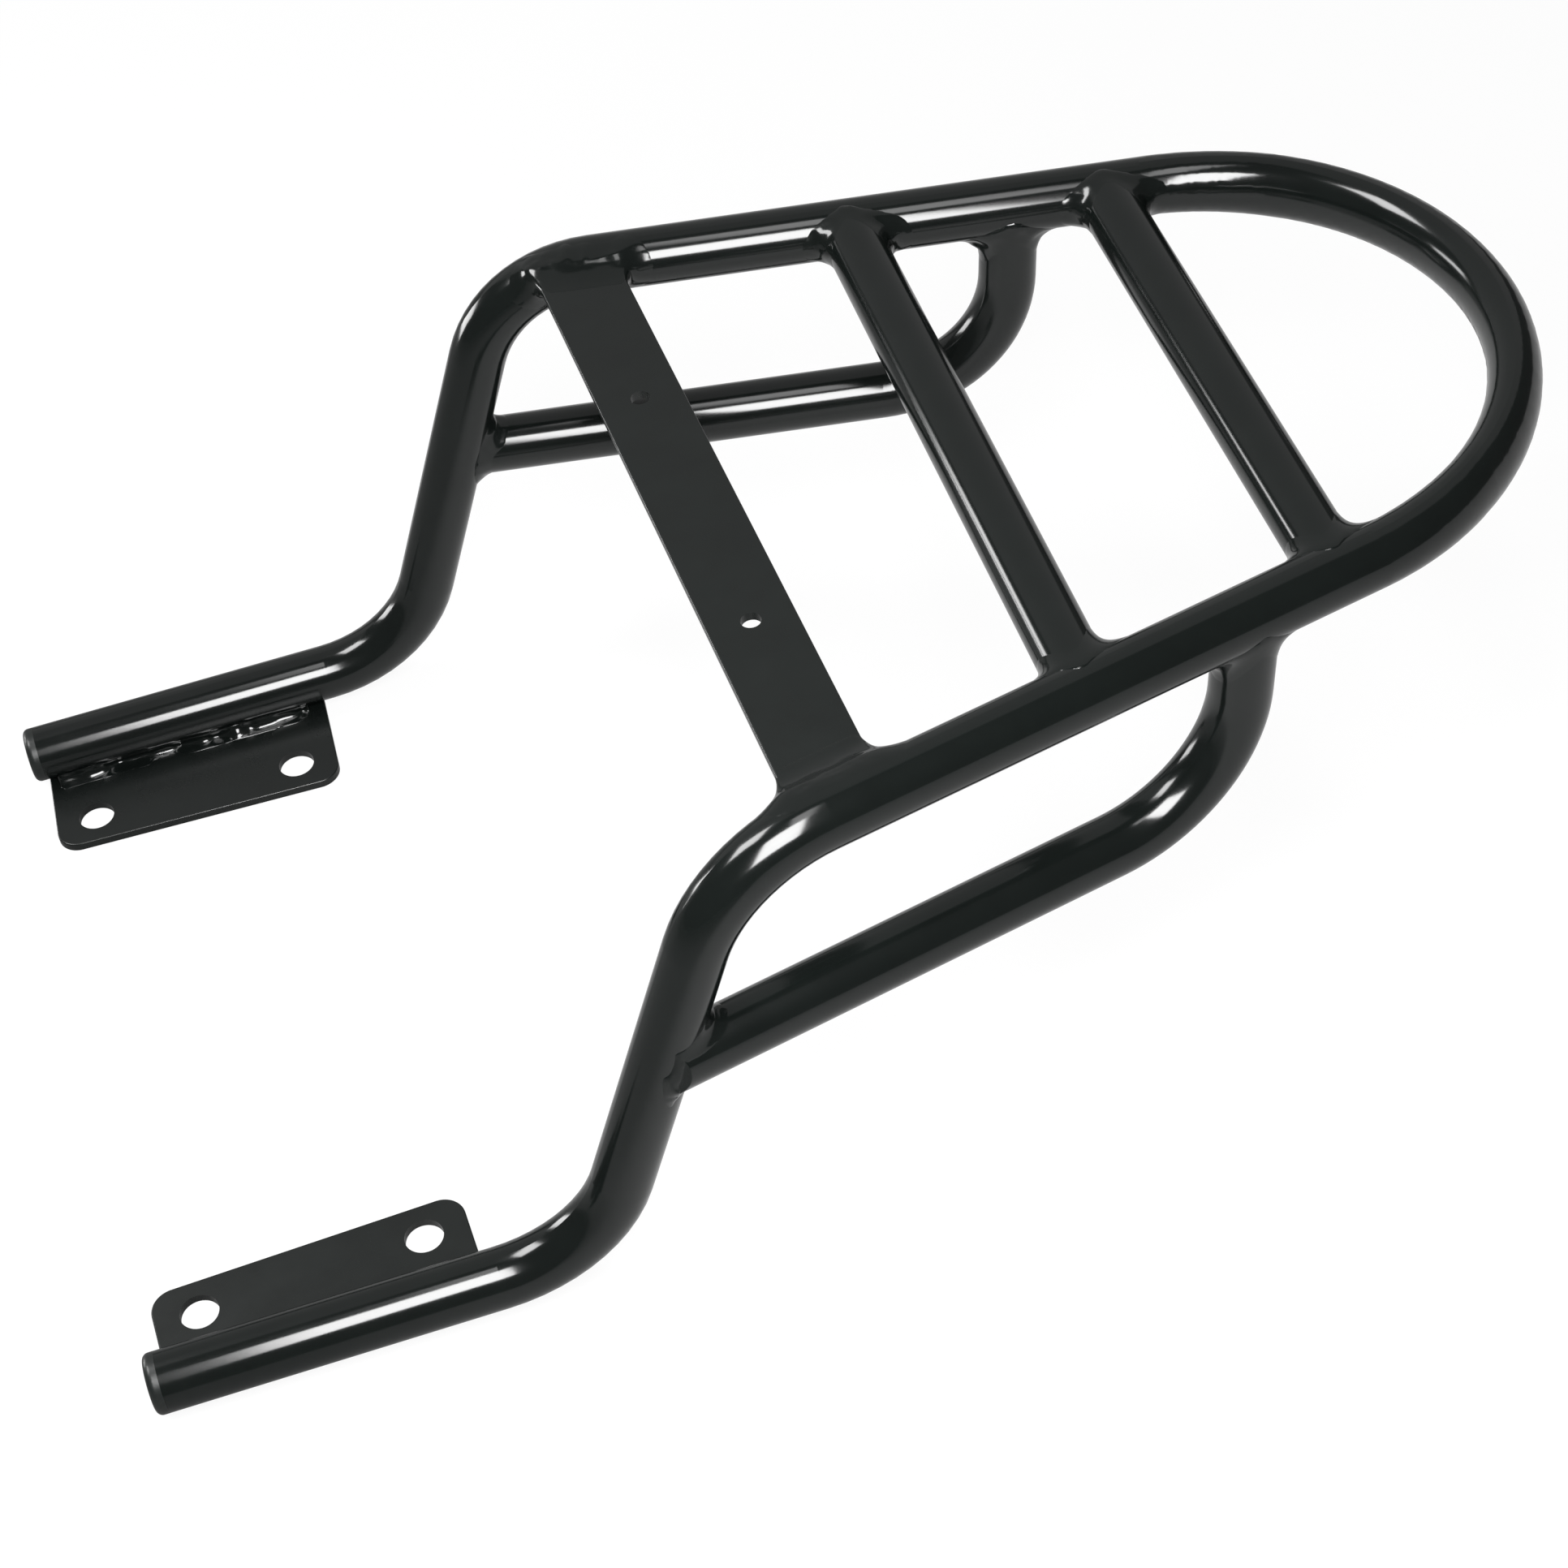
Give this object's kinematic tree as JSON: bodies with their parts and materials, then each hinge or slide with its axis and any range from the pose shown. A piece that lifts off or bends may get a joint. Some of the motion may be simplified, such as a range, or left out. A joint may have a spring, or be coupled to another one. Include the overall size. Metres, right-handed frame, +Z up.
{
  "type": "motorcycle luggage rack",
  "caption": "Welded tubular rear luggage rack: a bent hoop with legs, risers and a round rear loop, with cross tubes, bent side rails, a drilled strip and drilled mounting tabs.",
  "frame": {"origin": "under the middle of the rack, in the plane of the tabs' undersides", "axes": "+X to the rear of the motorcycle (the round loop), +Y to the motorcycle's right, +Z up"},
  "size_m": [0.5152, 0.319, 0.1794],
  "materials": {
    "coated_tube": "gloss black coat",
    "coated_flat_steel": "gloss black coat",
    "coated_weld": "gloss black coat over rippled weld metal",
    "plug_plastic": "satin black"
  },
  "bodies": {
    "root": {"cross_plate": "coated_flat_steel", "left_end_plug": "plug_plastic", "left_mid_tube_weld": "coated_weld", "left_mount_tab": "coated_flat_steel", "left_plate_weld": "coated_weld", "left_rear_tube_weld": "coated_weld", "left_side_rail": "coated_tube", "left_side_rail_front_weld": "coated_weld", "left_side_rail_mouth_weld": "coated_weld", "left_side_rail_top_weld": "coated_weld", "left_tab_weld": "coated_weld", "main_hoop": "coated_tube", "mid_cross_tube": "coated_tube", "rear_cross_tube": "coated_tube", "right_end_plug": "plug_plastic", "right_mid_tube_weld": "coated_weld", "right_mount_tab": "coated_flat_steel", "right_plate_weld": "coated_weld", "right_rear_tube_weld": "coated_weld", "right_side_rail": "coated_tube", "right_side_rail_front_weld": "coated_weld", "right_side_rail_mouth_weld": "coated_weld", "right_side_rail_top_weld": "coated_weld", "right_tab_weld": "coated_weld"}
  },
  "joints": []
}
